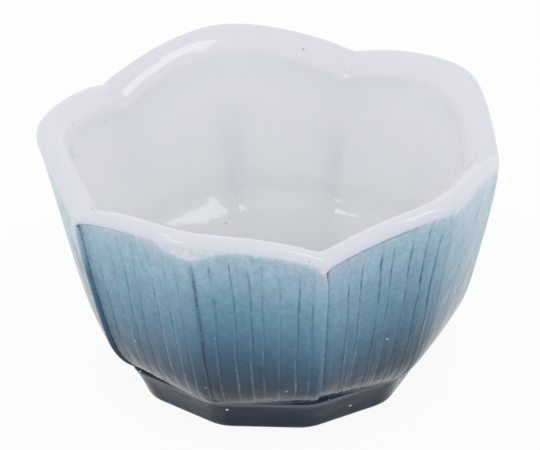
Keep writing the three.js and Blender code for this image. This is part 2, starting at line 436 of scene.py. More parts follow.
def swayed(rng, u_line, h_line, places):
    """The grid's u, with each column moved by the sway of the flutes on both its sides."""
    knots = np.concatenate([[-1], places, [1]])
    share = np.stack([np.interp(u_line, knots, row) for row in np.eye(len(knots))[1:-1]])
    sway = np.stack([slow_line(rng, h_line, SWAY_WAVES) for _ in places], axis=1) * SWAY / facet_width(0.5)
    return u_line[None, :] + sway @ share


print("flutes of one petal", flute_places(np.random.default_rng(0)).round(2))

# %% [markdown]
# A flute is a cut with a fine raised thread beside it. The cuts are deepest below the lip, and the threads
# stand out near the foot. Between flutes the clay is slightly hollow, and one broad groove follows the
# ridge. Each is a bell curve across times a fade along, which is easy to read and to change.

# %% Flutes
CUT_DEPTH = 0.15
CUT_WIDTH = 0.21
CUT_VARIES = (0.8, 1.35)
CUT_START = (0.8, 4.5)
THREAD_HEIGHT = 0.085
THREAD_WIDTH = 0.17
THREAD_PLACE = 0.36
HOLLOW_DEPTH = 0.08
# For each petal, on the facet at u < 0 and on the one at u > 0
FLUTE_STRENGTH = ((0.9, 0.8), (0.8, 0.9), (0.9, 0.5), (0.8, 1.1), (1.35, 0.06))
FOLD_GROOVE = (0.3, 0.2, 0.3, 1.0, 0.3)
FOLD_GROOVE_DEPTH = 0.16
FOLD_GROOVE_WIDTH = 0.6
FOLD_GROOVE_PLACE = 1.75
GROOVE_START = (3, 9)     # depths below the lip, as in the next line
HOLLOW_START = (2, 8)
GROOVE_POOL = 0.6
GROOVE_COVER = 0.7
ENDS_FADE = (0.3, 1.6)     # heights above the petal's lower edge
BEFORE_START = 0.8
AFTER_START = 3.0
CUT_WANDER = (14, 0.95)     # waves along a flute, and how far they swing its strength
THREAD_WANDER = (10, 0.8)
LOW_TO_HIGH = (0.15, 0.6)     # between these heights the next four go from their first value to their second
CUT_FADE = (0.5, 1.0)
THREAD_FADE = (1.1, 0.3)
CUT_POOL = (0.4, 0.8)
THREAD_THIN = (1.0, 0.25)


def wandering(rng, h_line, waves, swing):
    """A strength along one flute, which wanders round a half and stays between almost nothing and 1."""
    return np.clip(0.5 + swing * slow_line(rng, h_line, waves), 0.05, 1)[:, None]


def flute_relief(rng, index, u, u_line, h, places):
    """Cut and thread are bell curves across each flute. Their strengths wander along it."""
    relief, pool, thin = np.zeros_like(u), np.zeros_like(u), np.zeros_like(u)
    h_line = h[:, 0]
    width = facet_width(h)
    drop = below_seam(u, h)
    ends = smoothstep(*ENDS_FADE, wall_height(u) * h)
    high = smoothstep(*LOW_TO_HIGH, h)
    for place in places:
        side = 1 if place > 0 else -1
        force = FLUTE_STRENGTH[index][int(place > 0)]
        start = rng.uniform(*CUT_START)
        begin = smoothstep(start - BEFORE_START, start + AFTER_START, drop) * ends * force
        cut_force = wandering(rng, h_line, *CUT_WANDER)
        thread_force = wandering(rng, h_line, *THREAD_WANDER)
        x = (u_line[None, :] - place) * width * side
        cut = bell(x, CUT_WIDTH * rng.uniform(*CUT_VARIES)) * begin * cut_force
        thread = bell(x + THREAD_PLACE, THREAD_WIDTH) * begin * thread_force
        relief += THREAD_HEIGHT * thread * blend(*THREAD_FADE, high)
        relief -= CUT_DEPTH * cut * blend(*CUT_FADE, high)
        pool += cut * blend(*CUT_POOL, high)
        thin += thread * blend(*THREAD_THIN, high)
    hollow = np.sin(math.pi * (np.abs(u) * FLUTES - 0.05)) ** 2
    force = np.where(u > 0, FLUTE_STRENGTH[index][1], FLUTE_STRENGTH[index][0])
    relief -= HOLLOW_DEPTH * hollow * force * smoothstep(*HOLLOW_START, drop) * ends
    groove = FOLD_GROOVE[index] * bell(u * width - FOLD_GROOVE_PLACE, FOLD_GROOVE_WIDTH)
    groove = groove * smoothstep(*GROOVE_START, drop) * ends
    relief -= FOLD_GROOVE_DEPTH * groove
    return relief, pool + GROOVE_POOL * groove, thin * (1 - GROOVE_COVER * groove)


print("cuts up to", CUT_DEPTH, "mm deep, threads about", THREAD_HEIGHT, "mm high")

# %% [markdown]
# No edge of a petal is sharp: clay rounds in the fingers, and glaze rounds it more. The lapping edge rolls
# over in a nose, and the lower edge rolls under. A Bevel modifier would round all four edges alike, so the
# extra columns and rows are worked out here.

# %% Edges of a petal
NOSE_COLUMNS = 8
NOSE_REACH = 0.15
NOSE_ROUND = 0.34
NOSE_TURN = math.radians(95)
NOSE_TUCK = 0.6
NOSE_AT_LIP = 0.12
EDGE_COLUMNS = 12     # the last columns of a face, which give its edge a direction
UNDER_ROWS = 6
UNDER_ROUND = 0.36
UNDER_INSET = 0.78
UNDER_DROP = 0.62


def under_edge():
    """Inset and drop of the rows below the wall, from the innermost: a quarter circle under the edge, and a
    last row that closes on the foot."""
    turn = np.linspace(math.pi / 2, 0, UNDER_ROWS)[:-1]
    inset = np.concatenate([[UNDER_INSET], UNDER_ROUND * (1 - np.cos(turn))])
    drop = np.concatenate([[UNDER_DROP], UNDER_ROUND * np.sin(turn)])
    return inset, drop


def lap_nose(face, drop):
    """The rolled edge past u = 1: it reaches on along the facet, turns through a quarter circle and runs
    inwards. It shrinks below the lip, where the lap melts into it."""
    edge, before = face[:, -1], face[:, -EDGE_COLUMNS]
    along = edge - before
    along[:, 2] = 0
    along /= np.linalg.norm(along, axis=1, keepdims=True)
    outward = np.stack([along[:, 1], -along[:, 0], np.zeros(len(along))], axis=1)
    size = blend(NOSE_AT_LIP, 1.0, smoothstep(*LAP_START, drop))[:, None]
    roll = []
    for turn in np.linspace(0, NOSE_TURN, NOSE_COLUMNS)[1:]:
        reach = NOSE_REACH + NOSE_ROUND * math.sin(turn)
        roll.append(edge + size * (along * reach - outward * NOSE_ROUND * (1 - math.cos(turn))))
    roll.append(roll[-1] - outward * NOSE_TUCK)
    return np.stack(roll, axis=1)


print("inset and drop of the rows under a petal", np.round(under_edge(), 2).tolist())

# %% [markdown]
# A petal's face joins lap, panel and flutes. The flutes calm down beside the laps, where a tool can't
# reach. The mesh also carries how deep below the crest its glaze looks: the true depth, less where the
# milky glaze of the lip has run down, on the panel's border and on the ridge.

# %% Face of a petal
FACE_COLUMNS = 300
FACE_ROWS = 120
FIRST_SEED = 40
H_LINE = crowded(FACE_ROWS, 0, 1, [(0, 0.09, 4), (1, 0.1, 3)])
BORDER_PALE = 0.6
BORDER_PALE_FADE = 6.0
RIDGE_PALE = (2.0, 2.0, 2.0, 3.8, 1.0)
RIDGE_PALE_FADE = 14.0
RIDGE_PALE_PLACE = 0.05
RIDGE_PALE_WIDTH = 0.17
FOOT_THIN = 0.5
FOOT_THIN_WIDTH = 0.3
CALM_AT_STEP = (0.3, 1.4)     # distances from the panel's step and from the edge at u = -1
CALM_AT_LEFT = (1.6, 2.8)
CALM_AT_RIGHT = 2.0
RELIEF_START = (0, 0.35)     # depths below the lip


def face_columns(places):
    """The columns of a face crowd at each flute, at both edges and a little at the ridge."""
    width = facet_width(0.5)
    crowds = [(place, 0.45 / width, 5) for place in places]
    crowds += [(-1, 1.0 / width, 7), (1, 1.0 / width, 3), (0, 0.06, 1)]
    return crowded(FACE_COLUMNS, -1, 1, crowds)


def petal_face(index):
    """Grids of u, h and relief, and the masks of the glaze. Flutes are calm within a few millimetres of the
    panel's edge and of both laps, and all relief ends at the lip."""
    rng = np.random.default_rng(FIRST_SEED + index)
    places = flute_places(rng)
    u_line = face_columns(places)
    u = swayed(rng, u_line, H_LINE, places)
    h = np.repeat(H_LINE[:, None], FACE_COLUMNS, axis=1)
    pool, thin, border = lap_masks(index, u, h)
    fluted, cut_pool, thread_thin = flute_relief(rng, index, u, u_line, h, places)
    calm = smoothstep(*CALM_AT_STEP, panel_edge(u, h)) * smoothstep(*CALM_AT_LEFT, from_left(u, h))
    calm = calm * (1 - bell(from_right(u, h), CALM_AT_RIGHT))
    relief = (lap_relief(u, h) + fluted * calm) * smoothstep(*RELIEF_START, below_seam(u, h))
    thin = thin + thread_thin * calm + FOOT_THIN * bell(wall_height(u) * h, FOOT_THIN_WIDTH)
    return u, h, relief, pool + cut_pool * calm, thin, border


def glaze_depth(index, u, h, z, border):
    """Depth below the crest, less a share on the panel's border and some millimetres on the ridge, both of
    which fade down the wall."""
    drop = below_seam(u, h)
    depth = (crest(u) - z) * (1 - BORDER_PALE * border * np.exp(-drop / BORDER_PALE_FADE))
    ridge = bell(u - RIDGE_PALE_PLACE, RIDGE_PALE_WIDTH) * np.exp(-drop / RIDGE_PALE_FADE)
    return depth - RIDGE_PALE[index] * ridge


print("a face has", FACE_COLUMNS, "by", FACE_ROWS, "points")

# %% [markdown]
# A petal is then a fine grid with rolled edges and a coarse grid behind, zipped into a closed slab. One
# surface with a Solidify modifier would spend as many faces on the hidden back as on the front.

# %% Petals
BACK_COLUMNS = 40
BACK_ROWS = 24
UNDER_PAINTED_SHADE = 1.3
VEIL_AND_FACET_LIGHT = ((0.5, 0.4), (0.4, 0.5), (0.6, 0.3), (0.6, 0.0), (0.25, 0.9))     # thinner glaze and painted light and shade, on each facet
VEIL_EDGE = 0.12


def slab_faces(front_ids, back_ids):
    """Faces of the front, of the back, and of the four edges between them."""
    return [
        grid_faces(*front_ids.shape),
        grid_faces(*back_ids.shape, front_ids.size)[:, ::-1],
        zip_edges(front_ids[-1], back_ids[-1]),
        zip_edges(front_ids[0], back_ids[0])[:, ::-1],
        zip_edges(front_ids[:, 0], back_ids[:, 0]),
        zip_edges(front_ids[:, -1], back_ids[:, -1])[:, ::-1],
    ]


def make_petal(index):
    """Rows under the face, the face, the nose beside it and the back behind it, with the glaze's values and
    the painted shade under the lower edge.
    """
    u, h, relief, pool, thin, border = petal_face(index)
    inset, drop = under_edge()
    face = wall_point(index, u, h, -relief)
    under = wall_point(index, np.repeat(u[:1], len(inset), axis=0), 0.0, inset[:, None] - relief[0])
    under[..., 2] -= drop[:, None]
    depth = glaze_depth(index, u, h, face[..., 2], border)
    face = np.concatenate([under, face])
    below = np.concatenate([np.full(len(inset), wall_height(1.0)), below_seam(1.0, H_LINE)])
    front = np.concatenate([face, lap_nose(face, below)], axis=1)
    back_u, back_h = np.meshgrid(np.linspace(-1, 1, BACK_COLUMNS), np.linspace(0, 1, BACK_ROWS))
    back = wall_point(index, back_u, back_h, SLAB)
    points = np.concatenate([front.reshape(-1, 3), back.reshape(-1, 3)])
    front_ids = np.arange(front.shape[0] * front.shape[1]).reshape(front.shape[:2])
    back_ids = np.arange(back_u.size).reshape(back_u.shape) + front_ids.size

    # Painted shade on the rows that roll under the lower edge, strongest innermost, goes into the pooled
    # mask.
    shade = np.linspace(UNDER_PAINTED_SHADE, 0.0, len(inset))[:, None] * np.ones(FACE_COLUMNS)
    veil_and_facet_light = blend(*VEIL_AND_FACET_LIGHT[index], smoothstep(-VEIL_EDGE, VEIL_EDGE, u))
    masks = {
        "pooled_and_shade": np.concatenate([shade, pool]),
        "veil_and_facet_light": np.concatenate([np.repeat(veil_and_facet_light[:1], len(inset), axis=0), veil_and_facet_light]),
        "thin": np.concatenate([np.maximum(0.5 - shade, 0), thin]),
        "depth": np.concatenate([np.repeat(depth[:1], len(inset), axis=0), depth]),
    }
    to_nose = ((0, 0), (0, NOSE_COLUMNS))
    behind = np.zeros(back_ids.size)
    values = []
    for label, mask in masks.items():
        values.append((label, np.append(np.pad(mask, to_nose, mode="edge"), behind)))
    petal = make_object(f"glazed_petal_{index + 1}", points, slab_faces(front_ids, back_ids), values)
    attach(petal, "root")
    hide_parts(f"petal_{index + 1}")
    return petal


petals = [make_petal(index) for index in range(PETALS)]

# %% [markdown]
# The lip is thick and rolled: tight outside, flatter over the top, then a long slope into the bowl. Arcs
# that follow one another smoothly give that. A Bezier curve would do too, but radii can be read off a bowl
# with a gauge. Inside, the wall carries on from the lip and curves into the floor.

# %% Lip and inside
LIP_ROWS = 12
LIP_ARCS = (     # radius, and the angle that the section has turned through at its end
    (1.75, math.radians(90)),
    (4.0, math.radians(119)),
    (6.5, math.radians(130)),
    (5.5, math.pi - math.atan(WALL_LEAN)),
)
LOW_WALL = 6.2
INSIDE_FLARE_RISE = 2
INSIDE_NOTCH_ROUND = 5.0
INSIDE_SOFTER = 0.16
COVE_HEIGHT = 0.36
COVE_POWER = 2.5


def lip_section():
    """Inset from the outer wall and drop below the crest. The section turns from facing out over the crest
    until it faces the inside. Over an arc of radius r that turns from a to b, the inset grows by
    r (cos a - cos b) and the drop by r (sin a - sin b)."""
    inset, drop = np.zeros(1), np.full(1, LIP_ARCS[0][0])
    start = 0.0
    for radius, end in LIP_ARCS:
        turn = np.linspace(start, end, LIP_ROWS)[1:]
        inset = np.append(inset, inset[-1] + radius * (math.cos(start) - np.cos(turn)))
        drop = np.append(drop, drop[-1] + radius * (math.sin(start) - np.sin(turn)))
        start = end
    return inset, drop


LIP_INSET, LIP_DROP = lip_section()


def lip_point(index, u, inset, drop):
    """The lip rounds its ridges and notches more and more from the crest in to the inside wall."""
    across = inset / LIP_INSET[-1]
    notch_round = blend(NOTCH_ROUND, INSIDE_NOTCH_ROUND, across)
    place = wall_point(index, u, 1.0, inset, FLARE_RISE, notch_round, INSIDE_SOFTER * across)
    return set_height(place, crest(u) - drop)


def inside_point(index, u, h):
    """The wall below the lip. At the lip's end the outer wall has come in by its lean, so that much less
    inset carries the lip's surface straight on. It thickens with a square towards the foot."""
    top_inset = LIP_INSET[-1] - WALL_LEAN * (LIP_DROP[-1] - SEAM_DROP)
    inset = blend(top_inset, LOW_WALL, (1 - h) ** 2)
    return wall_point(index, u, h, inset, INSIDE_FLARE_RISE, INSIDE_NOTCH_ROUND, INSIDE_SOFTER)


def cove_point(index, u, t):
    """A quarter of a superellipse from the floor's middle (t = 0) out and up to the inside wall (t = 1)."""
    edge = inside_point(index, u, COVE_HEIGHT)
    turn = t * math.pi / 2
    out = math.sin(turn) ** (2 / COVE_POWER)
    up = 1 - math.cos(turn) ** (2 / COVE_POWER)
    rise = edge[..., 2] - FLOOR
    r = np.hypot(edge[..., 0], edge[..., 1])
    scale = out * (r - WALL_LEAN * rise * (1 - up)) / r
    return np.stack([edge[..., 0] * scale, edge[..., 1] * scale, FLOOR + rise * up], axis=-1)


print("the lip reaches", round(LIP_INSET[-1], 1), "mm in and", round(LIP_DROP[-1], 1), "mm down")

# %% [markdown]
# The white body is one skin, from the middle of the underside out, up behind the petals, over the lip and
# in to the middle of the floor. A thrown bowl would be a lathe shape. Here every row keeps the ten-sided
# plan, so a row is a function of the petal and u, and the list reads like a walk over the skin.

# %% Rows of the white body
INSIDE_TOP = 0.925
INSIDE_ROWS = 32
COVE_ROWS = 34
HIDDEN_ROWS = 14     # behind the petals, closer together low down
HIDDEN_SPAN = (0.1, 0.97)
HIDDEN_POWER = 1.4
FOOT_BORE = 22.6
UNDERSIDE_RADII = (4.0, 12.0)
PLUG_BEVEL = 0.3
ABOVE_FOOT = 0.1
SEAM_LEDGE = 0.02


def circle_point(index, u, radius, z):
    """A point of a circle. One petal's share of it runs from u = -1 to 1."""
    angle = u * HALF_ANGLE
    return turned(index, radius * np.cos(angle), radius * np.sin(angle), z)


def around(place, columns_line):
    """One row right round the bowl, petal after petal, without the doubled notch column."""
    return np.concatenate([place(index, columns_line[:-1]) for index in range(PETALS)])


def body_rows():
    """All rows from the underside's middle to the floor's, and the count of rows up to the lip's crest."""
    behind = SLAB + JOINT
    plug = FOOT_BORE - JOINT
    flat = UNDERSIDE_RADII + (plug - 4 * PLUG_BEVEL, plug - PLUG_BEVEL)
    rows = [(lambda k, u, r=r: circle_point(k, u, r, RECESS_DEPTH)) for r in flat]
    rows.append(lambda k, u: circle_point(k, u, plug, RECESS_DEPTH + PLUG_BEVEL))
    rows.append(lambda k, u: circle_point(k, u, plug, FOOT_HEIGHT + ABOVE_FOOT))
    rows.append(lambda k, u: set_height(wall_point(k, u, 0.0, behind), FOOT_HEIGHT + ABOVE_FOOT))
    for h in np.linspace(*HIDDEN_SPAN, HIDDEN_ROWS) ** HIDDEN_POWER:
        rows.append(lambda k, u, h=h: wall_point(k, u, h, behind))
    rows.append(lambda k, u: set_height(wall_point(k, u, 1.0, behind), crest(u) - SEAM_DROP - SEAM_LEDGE))
    rows.append(lambda k, u: set_height(wall_point(k, u, 1.0, 0.0), crest(u) - SEAM_DROP))
    crest_row = len(rows) + LIP_ROWS
    for inset, drop in zip(LIP_INSET, LIP_DROP):
        rows.append(lambda k, u, inset=inset, drop=drop: lip_point(k, u, inset, drop))
    for h in np.linspace(INSIDE_TOP, COVE_HEIGHT, INSIDE_ROWS):
        rows.append(lambda k, u, h=h: inside_point(k, u, h))
    for t in np.linspace(1, 0, COVE_ROWS + 1)[1:-1]:
        rows.append(lambda k, u, t=t: cove_point(k, u, t))
    return rows, crest_row


print("the body's skin has", len(body_rows()[0]), "rows")

# %% [markdown]
# The body's glaze needs three values at each point: its depth, whether it lies outside the crest, and the
# painted shade in the folds inside. They go with the mesh, as on the petals. Towards the floor the depth is
# counted from the crest's mean height, because the round floor knows nothing of the scallops.

# %% White body
BODY_COLUMNS = 128
INSIDE_FACET = 22.0
FOLD_SHADE_WIDTH = 3.2
RIDGE_PAINTED_SHADE = (0.3, 1.0, 0.0, 0.3, 0.3)
NOTCH_PAINTED_SHADE = (0.3, 1.0, 0.0, 0.3, 0.3)
EVEN_DEPTH = (22, 36)
FOLDS_BEGIN = (10, 22)
FOLDS_END = (30, 38)


def painted_fold_shade(u):
    """Painted shade in the folds inside, where the facets meet at an angle: on both sides of a ridge, and
    beside a notch, mostly on its u = -1 side, for each petal in turn."""
    ridge = bell(u * INSIDE_FACET, FOLD_SHADE_WIDTH)
    notch = bell((1 + u) * INSIDE_FACET, FOLD_SHADE_WIDTH)
    next_notch = bell((1 - u) * INSIDE_FACET, FOLD_SHADE_WIDTH / 3)
    shades = zip(RIDGE_PAINTED_SHADE, NOTCH_PAINTED_SHADE, NOTCH_PAINTED_SHADE[1:] + NOTCH_PAINTED_SHADE[:1])
    return np.concatenate([a * ridge + b * notch + c * next_notch for a, b, c in shades])


def body_values(rows, line, crest_row):
    """Depth below the crest, the outward side, and painted shade in the folds at middle depths. Each ends
    with its values at the middles of the underside and of the floor."""
    u_all = np.tile(line[:-1], PETALS)
    level = crest(line).mean()
    depth = crest(u_all)[None, :] - rows[..., 2]
    depth = (depth + smoothstep(*EVEN_DEPTH, depth) * (level - crest(u_all)[None, :])).ravel()
    outside = np.zeros(rows.shape[:2])
    outside[:crest_row] = 1
    # Painted shade in the folds, only at middle depths.
    painted_fold_shading = smoothstep(*FOLDS_BEGIN, depth) * (1 - smoothstep(*FOLDS_END, depth))
    painted_fold_shading = painted_fold_shading * np.tile(painted_fold_shade(line[:-1]), len(rows))
    return [
        ("depth", np.append(depth, [0, level - FLOOR])),
        ("outside", np.append(outside.ravel(), [1, 0])),
        ("pooled_and_shade", np.append(painted_fold_shading, [0, 0])),
    ]


def make_body():
    """The rows, zipped round, with a fan of triangles at each end."""
    line = crowded(BODY_COLUMNS + 1, -1, 1, [(-1, 0.08, 3), (1, 0.08, 3), (0, 0.2, 1)])
    places, crest_row = body_rows()
    rows = np.stack([around(place, line) for place in places])
    count, columns = rows.shape[:2]
    points = np.concatenate([rows.reshape(-1, 3), [[0, 0, RECESS_DEPTH], [0, 0, FLOOR]]])
    ring = np.arange(columns)
    after = (ring + 1) % columns
    last = (count - 1) * columns
    underside = np.full(columns, count * columns)
    under = np.stack([underside, after, ring], axis=-1)
    floor = np.stack([underside + 1, last + ring, last + after], axis=-1)
    faces = [grid_faces(count, columns, wrap=True), under, floor]
    body = make_object("white_body", points, faces, body_values(rows, line, crest_row))
    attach(body, "root")
    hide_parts("bowl_body")
    return body


body = make_body()

# %% [markdown]
# The foot ring is ten-sided outside and round inside. Its sides are slightly hollow, a soft bead with a
# groove above it runs round the top, and the lower edge is rounded so that it doesn't chip. A bevelled
# cylinder would keep hard corners. These are soft, so each side runs into the arc of its corner.

# %% Foot ring
FOOT_COLUMNS = 64
FOOT_TOP = 32.7
FOOT_BOTTOM = 28.8
FOOT_CORNER = 8.0
FOOT_ROUND = 0.9
BORE_ROUND = 0.7
SIDE_HOLLOW = 0.12
BEAD_ROUND = 0.5
BEAD_BEGINS = 0.9
BEAD_MIDDLE = 0.25
BEAD_THIN_WIDTH = 0.35
EDGE_ROWS, TAPER_ROWS, BEAD_ROWS, BORE_ROWS, BORE_EDGE_ROWS = 9, 12, 8, 8, 7


def foot_point(index, u, inset, z):
    """A ten-sided taper. Each side is straight up to the arc of its rounded corner, whose centre lies on
    the line through the corner."""
    corner = FOOT_CORNER - inset
    side = blend(FOOT_BOTTOM, FOOT_TOP, z / FOOT_HEIGHT) / CORNER - inset
    from_side = np.abs(np.abs(u) - 0.5) * HALF_ANGLE
    centre = (side - corner) * CORNER
    turn = from_side - HALF_ANGLE / 2
    arc = centre * np.cos(turn) + np.sqrt(corner**2 - (centre * np.sin(turn)) ** 2)
    straight = side * np.tan(from_side) <= centre * math.sin(HALF_ANGLE / 2)
    return circle_point(index, u, np.where(straight, side / np.cos(from_side), arc), z)


def quarter(radius, count):
    """Sideways and upward parts of a quarter circle that starts by running sideways."""
    turn = np.linspace(0, math.pi / 2, count)
    return radius * np.sin(turn), radius * (1 - np.cos(turn))


def foot_profile():
    """Columns of inset and height up the outside: a rounded lower edge, a taper hollow by a half sine and a
    bead on top. Then radius and height down the bore, to a rounded lower edge."""
    side, up = quarter(FOOT_ROUND, EDGE_ROWS)
    low = np.stack([FOOT_ROUND - side, up], axis=1)
    t = np.linspace(0, 1, TAPER_ROWS)[1:]
    heights = blend(FOOT_ROUND, FOOT_HEIGHT - BEAD_BEGINS, t)
    taper = np.stack([SIDE_HOLLOW * np.sin(math.pi * t), heights], axis=1)
    side, up = quarter(BEAD_ROUND, BEAD_ROWS)
    bead = np.stack([up - SIDE_HOLLOW, FOOT_HEIGHT - BEAD_ROUND + side], axis=1)
    down = np.linspace(FOOT_HEIGHT, BORE_ROUND, BORE_ROWS)
    side, up = quarter(BORE_ROUND, BORE_EDGE_ROWS)
    bore = np.stack([np.full(BORE_ROWS, FOOT_BORE), down], axis=1)
    bore_edge = np.stack([FOOT_BORE + up, BORE_ROUND - side], axis=1)[1:]
    return np.concatenate([low, taper, bead]), np.concatenate([bore, bore_edge])


def make_foot():
    """A profile that runs up the outside and down the bore. Its last row meets its first again."""
    line = np.linspace(-1, 1, FOOT_COLUMNS + 1)
    outer, bore = foot_profile()
    rows = [around(lambda k, u, i=i, z=z: foot_point(k, u, i, z), line) for i, z in outer]
    rows += [around(lambda k, u, r=r, z=z: circle_point(k, u, r, z), line) for r, z in bore]
    points = np.concatenate(rows)
    columns = len(rows[0])
    faces = grid_faces(len(rows) + 1, columns, wrap=True) % len(points)
    heights = np.concatenate([outer, bore])[:, 1]
    bead = bell(heights - FOOT_HEIGHT + BEAD_MIDDLE, BEAD_THIN_WIDTH) * (np.arange(len(rows)) < len(outer))
    foot = make_object("glazed_foot", points, [faces], [("thin", np.repeat(bead, columns))])
    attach(foot, "root")
    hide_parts("foot_ring")
    return foot


foot = make_foot()

# %% [markdown]
# Materials are graphs of nodes, and a node written out takes five lines. These helpers make that one line:
# put places a node and feeds its inputs, and the others are put for the kinds used most.

# %% Shader helpers
def linear(r, g, b):
    """An sRGB colour, 0 to 255, as the linear colour that the shader wants."""
    c = np.array([r, g, b]) / 255
    return tuple(np.where(c <= 0.04045, c / 12.92, ((c + 0.055) / 1.055) ** 2.4)) + (1.0,)


def feed(tree, value, socket):
    """Joins a node's output to a socket, or sets the socket to a plain value."""
    if isinstance(value, bpy.types.NodeSocket):
        tree.links.new(value, socket)
    else:
        socket.default_value = value


def put(tree, kind, inputs=None, **settings):
    """A new node with its settings, and its inputs fed by name or number."""
    node = tree.nodes.new(kind)
    for label, value in settings.items():
        setattr(node, label, value)
    for label, value in (inputs or {}).items():
        feed(tree, value, node.inputs[label])
    return node


def arithmetic(tree, operation, a, b):
    return put(tree, "ShaderNodeMath", {0: a, 1: b}, operation=operation).outputs[0]


def mix_colour(tree, factor, a, b, way="MIX"):
    inputs = {0: factor, 6: a, 7: b}
    return put(tree, "ShaderNodeMix", inputs, data_type="RGBA", blend_type=way).outputs[2]


def mix_shader(tree, factor, a, b):
    return put(tree, "ShaderNodeMixShader", {0: factor, 1: a, 2: b}).outputs[0]


def noise(tree, vector, scale, detail):
    inputs = {"Vector": vector, "Scale": scale, "Detail": detail}
    return put(tree, "ShaderNodeTexNoise", inputs).outputs["Fac"]


def spread(tree, value, span, onto=(0.0, 1.0), way="LINEAR"):
    """Maps the span of a value onto another one, and holds it at the ends."""
    inputs = dict(zip(("Value", "From Min", "From Max", "To Min", "To Max"), (value, *span, *onto)))
    return put(tree, "ShaderNodeMapRange", inputs, interpolation_type=way).outputs[0]


def attribute(tree, name):
    return put(tree, "ShaderNodeAttribute", attribute_name=name).outputs["Fac"]


def new_material(name):
    """A material, its graph, its Principled shader, and the place on the object to hang patterns on."""
    material = bpy.data.materials.new(name)
    material.use_nodes = True
    tree = material.node_tree
    place = put(tree, "ShaderNodeTexCoord").outputs["Object"]
    return material, tree, tree.nodes["Principled BSDF"], place


def grouped(tree, group, **values):
    """A node group with its inputs fed by name. An underscore stands for a space."""
    inputs = {label.replace("_", " "): value for label, value in values.items()}
    return put(tree, "ShaderNodeGroup", inputs, node_tree=group).outputs[0]


print("mid grey as light", round(float(linear(128, 128, 128)[0]), 3))

# %% [markdown]
# Glaze pools darker in cuts and breaks paler over edges. All three glazes need that, and pinholes and a
# faint ripple too, so each effect is a node group with masks as inputs, built once instead of copied. The
# pooled mask also carries painted shade, under the petals and in the folds inside. They give only colours,
# masks and heights: the Principled shader stays in each material.

# %% Node groups for glaze
COLOUR = "NodeSocketColor"
NUMBER = "NodeSocketFloat"
VECTOR = "NodeSocketVector"


def new_group(name, inputs, output):
    group = bpy.data.node_groups.new(name, "ShaderNodeTree")
    for label, kind, value in inputs:
        socket = group.interface.new_socket(label, in_out="INPUT", socket_type=kind)
        socket.default_value = value
    group.interface.new_socket(output[0], in_out="OUTPUT", socket_type=output[1])
    given = group.nodes.new("NodeGroupInput").outputs
    result = group.nodes.new("NodeGroupOutput").inputs[0]
    return group, given, result


def glaze_thickness_and_shade_group():
    """Mixes towards the pooled colour, then towards the thin colour, by two masks. The pooled mask also
    carries painted shade.
    """
    inputs = [("Colour", COLOUR, (1, 1, 1, 1)), ("Pooled", NUMBER, 0.0), ("Thin", NUMBER, 0.0),
              ("Pooled tint", COLOUR, (0.3, 0.4, 0.5, 1)), ("Thin colour", COLOUR, (0.6, 0.7, 0.75, 1))]
    group, given, result = new_group("Glaze depth", inputs, ("Colour", COLOUR))
    pool = put(group, "ShaderNodeClamp", {0: given["Pooled"]}).outputs[0]
    thin = put(group, "ShaderNodeClamp", {0: given["Thin"]}).outputs[0]
    dark = mix_colour(group, 1.0, given["Colour"], given["Pooled tint"], "MULTIPLY")
    pooled_and_shade = mix_colour(group, pool, given["Colour"], dark)
    feed(group, mix_colour(group, thin, pooled_and_shade, given["Thin colour"]), result)
    return group


def pinhole_group():
    """Small round spots: a Voronoi distance under a radius, kept only in the few cells that a threshold on
    the cell's own random colour lets through."""
    inputs = [("Vector", VECTOR, (0, 0, 0)), ("Scale", NUMBER, 100.0), ("Radius", NUMBER, 0.1),
              ("Share", NUMBER, 0.1)]
    group, given, result = new_group("Pinholes", inputs, ("Mask", NUMBER))
    spacing = {"Vector": given["Vector"], "Scale": given["Scale"]}
    cells = put(group, "ShaderNodeTexVoronoi", spacing, feature="F1")
    chance = put(group, "ShaderNodeSeparateColor", {0: cells.outputs["Color"]}).outputs
    chosen = arithmetic(group, "LESS_THAN", chance[0], given["Share"])
    size = arithmetic(group, "MULTIPLY", chance[1], given["Radius"])
    spot = arithmetic(group, "LESS_THAN", cells.outputs["Distance"], size)
    feed(group, arithmetic(group, "MULTIPLY", chosen, spot), result)
    return group


def ripple_group():
    """The slow unevenness of fired glaze plus a share of a finer orange peel, as one height."""
    inputs = [("Vector", VECTOR, (0, 0, 0)), ("Slow scale", NUMBER, 90.0), ("Fine scale", NUMBER, 900.0),
              ("Fine share", NUMBER, 0.15)]
    group, given, result = new_group("Glaze ripple", inputs, ("Height", NUMBER))
    slow = noise(group, given["Vector"], given["Slow scale"], 2.0)
    fine = noise(group, given["Vector"], given["Fine scale"], 2.0)
    fine = arithmetic(group, "MULTIPLY", fine, given["Fine share"])
    feed(group, arithmetic(group, "ADD", slow, fine), result)
    return group


GLAZE_THICKNESS_AND_SHADE = glaze_thickness_and_shade_group()
PINHOLES = pinhole_group()
RIPPLE = ripple_group()


def ripple_bump(tree, shader, place, distance, **values):
    """Every glaze ends with this. It bends reflections a little and adds no shape."""
    height = grouped(tree, RIPPLE, Vector=place, **values)
    bump = put(tree, "ShaderNodeBump", {"Strength": 1.0, "Distance": distance, "Height": height})
    feed(tree, bump.outputs[0], shader.inputs["Normal"])


print("node groups", [group.name for group in bpy.data.node_groups])

# %% [markdown]
# The blue runs from a pale rim through teal to dark slate, because the glaze was laid on in a gradient.
# Object coordinates would make it level all round. With the depth that the mesh carries it follows the
# scalloped rim. There are two ramps, and the mesh says how much of the paler thin one shows on each facet.
# That share stands for thinner glaze and also for painted light and shade, paler on facets that catch more
# light.

